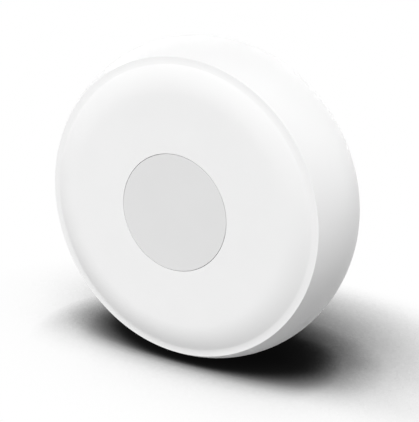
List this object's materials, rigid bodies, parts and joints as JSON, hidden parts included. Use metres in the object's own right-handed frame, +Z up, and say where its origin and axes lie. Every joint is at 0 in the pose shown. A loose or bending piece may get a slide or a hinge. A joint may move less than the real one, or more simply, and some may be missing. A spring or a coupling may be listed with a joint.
{
  "type": "smart button",
  "caption": "Round white wireless push button: a puck with a bulging side, crowned front and pressable grey centre cap, on a twist-lock wall plate.",
  "frame": {"origin": "centre of the adhesive pad's back face, where the object meets the wall", "axes": "+Y into the wall, so the front faces -Y; +Z up; +X to the right as seen from the front"},
  "size_m": [0.06, 0.0163, 0.06],
  "materials": {
    "shell_plastic": "white moulded plastic with a fine satin texture",
    "cap_plastic": "light grey moulded plastic, fine satin texture",
    "chassis_plastic": "white moulded plastic, fine spark texture",
    "plate_plastic": "white moulded plastic, fine spark texture",
    "pad_foam": "grey closed-cell foam tape",
    "screw_steel": "zinc plated",
    "board_laminate": "green solder mask on glass laminate",
    "module_laminate": "blue solder mask on glass laminate",
    "cell_steel": "nickel plated, fine brushed",
    "contact_metal": "nickel plated spring strip",
    "switch_plastic": "black moulded plastic",
    "shield_tin": "tin plated sheet",
    "ceramic": "fired ceramic with tinned ends",
    "chip_resin": "black moulded resin",
    "light_resin": "clear resin over a pale chip"
  },
  "bodies": {
    "wall_plate": {"mounting_plate": "plate_plastic", "adhesive_pad": "pad_foam"},
    "puck": {"front_shell": "shell_plastic", "rear_chassis": "chassis_plastic", "chassis_screws": "screw_steel", "circuit_board": "board_laminate", "coin_cell": "cell_steel", "positive_contact": "contact_metal", "negative_contact": "contact_metal", "switch_base": "switch_plastic", "switch_cover": "shield_tin", "switch_dome": "contact_metal", "switch_terminals": "contact_metal", "radio_module": "module_laminate", "radio_shield": "shield_tin", "chip_antenna": "ceramic", "status_light": "light_resin", "bulk_capacitors": "ceramic", "power_chip": "chip_resin", "board_passives": "chip_resin"},
    "button": {"button_cap": "cap_plastic", "switch_plunger": "switch_plastic"}
  },
  "joints": [
    {"name": "puck_twist", "type": "hinge", "parent": "wall_plate", "child": "puck", "pos_m": [0, 0, 0], "axis": [0, -1, 0], "range_deg": [0, 30]},
    {"name": "button_press", "type": "slide", "parent": "puck", "child": "button", "axis": [0, 1, 0], "range_m": [0, 0.0006], "stiffness_N_per_m": 3000, "deforming": ["switch_dome"]}
  ]
}
